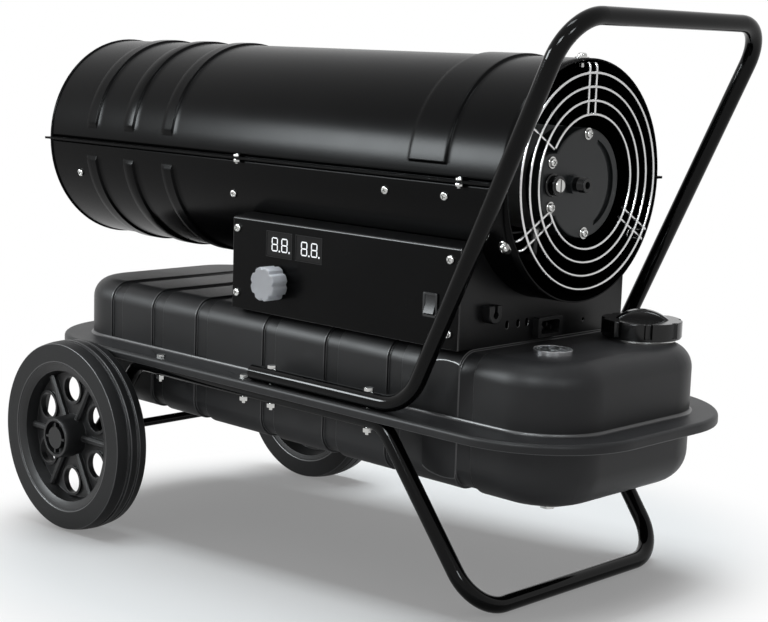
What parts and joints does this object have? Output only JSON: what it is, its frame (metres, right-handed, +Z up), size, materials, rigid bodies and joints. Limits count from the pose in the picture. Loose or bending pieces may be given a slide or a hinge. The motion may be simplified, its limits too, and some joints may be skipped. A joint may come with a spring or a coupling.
{
  "type": "forced air heater",
  "caption": "Wheeled forced air heater: a ducted burner barrel with a wire inlet guard on a flanged fuel tank, with a bent tube handle and stand.",
  "frame": {"origin": "on the floor, under the middle of the overall box", "axes": "+X towards the fan inlet and the handle, the hot air outlet at -X, the control panel on the -Y side, +Z up; the barrel leans by about 3.1 degrees, outlet up"},
  "size_m": [0.9968, 0.518, 0.6765],
  "materials": {
    "barrel_enamel": "gloss black enamel",
    "tank_enamel": "satin black enamel",
    "tube_enamel": "gloss black enamel",
    "box_enamel": "satin black enamel",
    "chassis_enamel": "satin dark grey enamel",
    "pump_enamel": "satin dark grey enamel on a casting",
    "wheel_plastic": "matte black moulding",
    "tyre_rubber": "matte black rubber",
    "zinc_steel": "bright zinc plate",
    "guard_wire": "bright plated wire",
    "burner_steel": "heat-tinted stainless sheet",
    "shield_sheet": "aluminised sheet",
    "cast_aluminium": "cast, bead-blasted",
    "fan_aluminium": "pressed sheet",
    "carbon": "graphite",
    "brass": "turned",
    "electrode_ceramic": "glazed white",
    "black_plastic": "fine-grained black moulding",
    "cap_plastic": "gloss black moulding",
    "knob_plastic": "light grey moulding",
    "rocker_plastic": "dark grey moulding",
    "display_window": "smoked window over lit digits",
    "circuit_board": "green solder mask",
    "capacitor_can": "drawn can",
    "seal_rubber": "black nitrile",
    "hose_rubber": "black hose",
    "float_foam": "closed-cell foam",
    "strainer_plastic": "translucent white moulding",
    "gauge_lens": "clear moulded lens",
    "gauge_plastic": "dark grey moulding with a bright rim",
    "pointer_plastic": "white moulding"
  },
  "bodies": {
    "heater": {"upper_shell": "barrel_enamel", "lower_shell": "barrel_enamel", "seam_screws": "zinc_steel", "casing_screws": "zinc_steel", "guard_screws": "zinc_steel", "combustion_chamber": "burner_steel", "flame_cone": "burner_steel", "heat_shield": "shield_sheet", "burner_head": "cast_aluminium", "fuel_nozzle": "brass", "spark_electrode": "electrode_ceramic", "photocell": "black_plastic", "motor": "pump_enamel", "motor_bracket": "chassis_enamel", "pump_body": "cast_aluminium", "pump_end_cover": "pump_enamel", "pump_screws": "zinc_steel", "fan_guard": "guard_wire", "air_line": "hose_rubber", "fuel_line": "hose_rubber", "chassis": "chassis_enamel", "control_cover": "box_enamel", "plain_cover": "box_enamel", "control_board": "circuit_board", "display_module": "display_window", "potentiometer": "zinc_steel", "switch_body": "black_plastic", "ignition_transformer": "black_plastic", "motor_capacitor": "capacitor_can", "power_inlet": "black_plastic", "cord_clamp": "black_plastic", "tank_upper": "tank_enamel", "tank_lower": "tank_enamel", "filler_neck": "zinc_steel", "filler_strainer": "strainer_plastic", "gauge_body": "gauge_plastic", "gauge_lens": "gauge_lens", "fuel_pickup": "brass", "drain_plug": "zinc_steel", "handle": "tube_enamel", "lower_frame": "tube_enamel", "axle": "tube_enamel", "hub_caps": "black_plastic", "frame_bolts": "zinc_steel"},
    "wheel_left": {"wheel_left": "wheel_plastic", "tyre_left": "tyre_rubber"},
    "wheel_right": {"wheel_right": "wheel_plastic", "tyre_right": "tyre_rubber"},
    "fan_rotor": {"fan": "fan_aluminium", "motor_shaft": "zinc_steel", "pump_rotor": "carbon"},
    "thermostat_knob": {"thermostat_knob": "knob_plastic", "knob_shaft": "brass"},
    "switch_rocker": {"switch_rocker": "rocker_plastic"},
    "cap_seal": {"cap_seal": "seal_rubber"},
    "filler_cap": {"filler_cap": "cap_plastic"},
    "float_arm": {"float_arm": "float_foam"},
    "gauge_pointer": {"gauge_pointer": "pointer_plastic"},
    "pressure_plug": {"pressure_plug": "zinc_steel"}
  },
  "joints": [
    {"name": "wheel_left_roll", "type": "hinge", "parent": "heater", "child": "wheel_left", "pos_m": [-0.3325, -0.226, 0.1305], "axis": [0, 1, 0], "continuous": true},
    {"name": "wheel_right_roll", "type": "hinge", "parent": "heater", "child": "wheel_right", "pos_m": [-0.3325, 0.226, 0.1305], "axis": [0, 1, 0], "continuous": true},
    {"name": "fan_spin", "type": "hinge", "parent": "heater", "child": "fan_rotor", "pos_m": [0.08139, 0, 0.50248], "axis": [0.9985, 0, -0.0545], "continuous": true},
    {"name": "thermostat_turn", "type": "hinge", "parent": "heater", "child": "thermostat_knob", "pos_m": [0.00484, -0.16, 0.35694], "axis": [0, -1, 0], "range_deg": [-135, 135]},
    {"name": "switch_rock", "type": "hinge", "parent": "heater", "child": "switch_rocker", "pos_m": [0.26531, -0.152, 0.34923], "axis": [0.9985, 0, -0.0545], "range_deg": [0, 18]},
    {"name": "cap_lift", "type": "slide", "parent": "heater", "child": "cap_seal", "axis": [0.0545, 0, 0.9985], "range_m": [0, 0.016]},
    {"name": "cap_turn", "type": "hinge", "parent": "cap_seal", "child": "filler_cap", "pos_m": [0.37684, 0.1, 0.31009], "axis": [0.0545, 0, 0.9985], "range_deg": [0, 90]},
    {"name": "float_swing", "type": "hinge", "parent": "heater", "child": "float_arm", "pos_m": [0.37089, -0.066, 0.26535], "axis": [0, 1, 0], "range_deg": [0, 55]},
    {"name": "pointer_turn", "type": "hinge", "parent": "heater", "child": "gauge_pointer", "pos_m": [0.37264, -0.066, 0.2973], "axis": [0.0545, 0, 0.9985], "range_deg": [0, 90]},
    {"name": "pressure_adjust", "type": "hinge", "parent": "heater", "child": "pressure_plug", "pos_m": [0.37085, -0.061, 0.48468], "axis": [0.9985, 0, -0.0545], "range_deg": [-180, 180]}
  ],
  "couplings": [
    {"joint": "pointer_turn", "follows": "float_swing", "ratio": 1.6}
  ]
}
